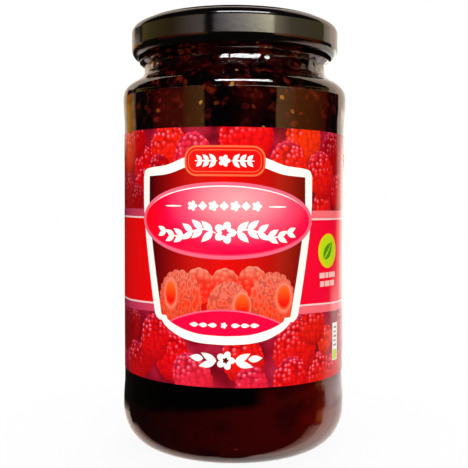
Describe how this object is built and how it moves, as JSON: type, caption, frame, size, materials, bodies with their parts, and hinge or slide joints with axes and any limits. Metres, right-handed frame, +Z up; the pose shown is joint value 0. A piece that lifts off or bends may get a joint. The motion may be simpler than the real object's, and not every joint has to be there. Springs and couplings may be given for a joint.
{
  "type": "jam jar",
  "caption": "Round glass jar of raspberry jam with a twist-off lid and a wrap-round paper label.",
  "frame": {"origin": "centre of the base, on the surface that the jar stands on", "axes": "+Z up along the jar's axis; the front of the label faces -Y; the gap between the label's ends is at +Y"},
  "size_m": [0.0706, 0.0706, 0.1325],
  "materials": {
    "glass": "clear flint glass, smooth",
    "jam": "dark red fruit jam with seeds, wet",
    "lid": "black lacquered tinplate, gloss",
    "label": "printed and varnished paper, semi-gloss"
  },
  "bodies": {
    "root": {"glass_jar": "glass", "jam": "jam", "lid": "lid", "label": "label"}
  },
  "joints": []
}
